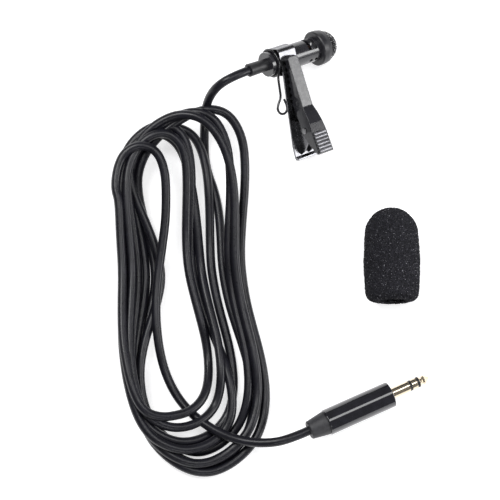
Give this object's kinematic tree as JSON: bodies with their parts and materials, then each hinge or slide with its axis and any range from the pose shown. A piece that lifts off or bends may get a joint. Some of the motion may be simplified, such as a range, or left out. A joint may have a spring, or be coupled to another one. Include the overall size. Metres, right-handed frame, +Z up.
{
  "type": "lavalier microphone",
  "caption": "Clip-on lavalier microphone with a sprung clip that turns round its body, a loose hank of thin cable, a jack plug and a loose foam windscreen.",
  "frame": {"origin": "on the surface it lies on, below the middle of the box of the microphone, its clip and the windscreen", "axes": "+Z up; +Y along the length of the layout, from the windscreen to the microphone"},
  "size_m": [0.1049, 0.151, 0.0243],
  "materials": {
    "body_black": "satin black lacquer on a turned metal tube",
    "head_black": "matte black lacquer",
    "grille": "black woven metal mesh",
    "felt": "black felt",
    "capsule_metal": "bare aluminium",
    "board": "green circuit board",
    "rubber": "matte black rubber",
    "cable_black": "satin black cable jacket",
    "crimp_metal": "tinned metal",
    "wire_copper": "copper wire",
    "clip_black": "gloss black lacquer on steel sheet",
    "clip_metal": "dark nickel plating on steel sheet",
    "pin_steel": "blackened steel",
    "spring_steel": "dark spring steel",
    "boot_grey": "matte charcoal plastic",
    "barrel_black": "gloss black",
    "gold": "pale gold plating",
    "insulator": "black plastic",
    "foam": "black open-cell foam"
  },
  "bodies": {
    "microphone": {"mic_body": "body_black", "rear_cap": "body_black", "head_ring": "head_black", "grille_dome": "grille", "dust_felt": "felt", "capsule_can": "capsule_metal", "capsule_board": "board", "capsule_holder": "rubber", "strain_relief": "rubber", "cable_end": "cable_black", "cable_lead": "cable_black", "cable_coil": "cable_black", "cable_tail": "cable_black", "plug_cable_end": "cable_black", "cable_crimp": "crimp_metal", "lead_wires": "wire_copper", "plug_boot": "boot_grey", "plug_barrel": "barrel_black", "plug_liner": "insulator", "plug_sleeve_contact": "gold", "plug_ring_contact": "gold", "plug_tip_contact": "gold", "plug_ring_insulator": "insulator", "plug_tip_insulator": "insulator", "plug_clamp": "crimp_metal"},
    "clip": {"clip_base": "clip_metal", "hinge_pin": "pin_steel", "torsion_spring": "spring_steel", "holder_wire": "clip_black"},
    "lever": {"clip_lever": "clip_black"},
    "foam": {"windscreen": "foam"}
  },
  "joints": [
    {"name": "clip_swivel", "type": "hinge", "parent": "microphone", "child": "clip", "pos_m": [-0.01702, 0.03427, 0.01359], "axis": [0.7894, 0.3936, -0.471], "continuous": true},
    {"name": "lever_hinge", "type": "hinge", "parent": "clip", "child": "lever", "pos_m": [-0.00676, 0.01134, 0.01162], "axis": [0.7894, 0.3936, -0.471], "range_deg": [0, 25], "stiffness_Nm_per_rad": 0.05, "springref_deg": -34.38, "deforming": ["torsion_spring"]},
    {"name": "windscreen_lift", "type": "slide", "parent": "microphone", "child": "foam", "axis": [0, 0, 1], "range_m": [0, 0.06]}
  ]
}
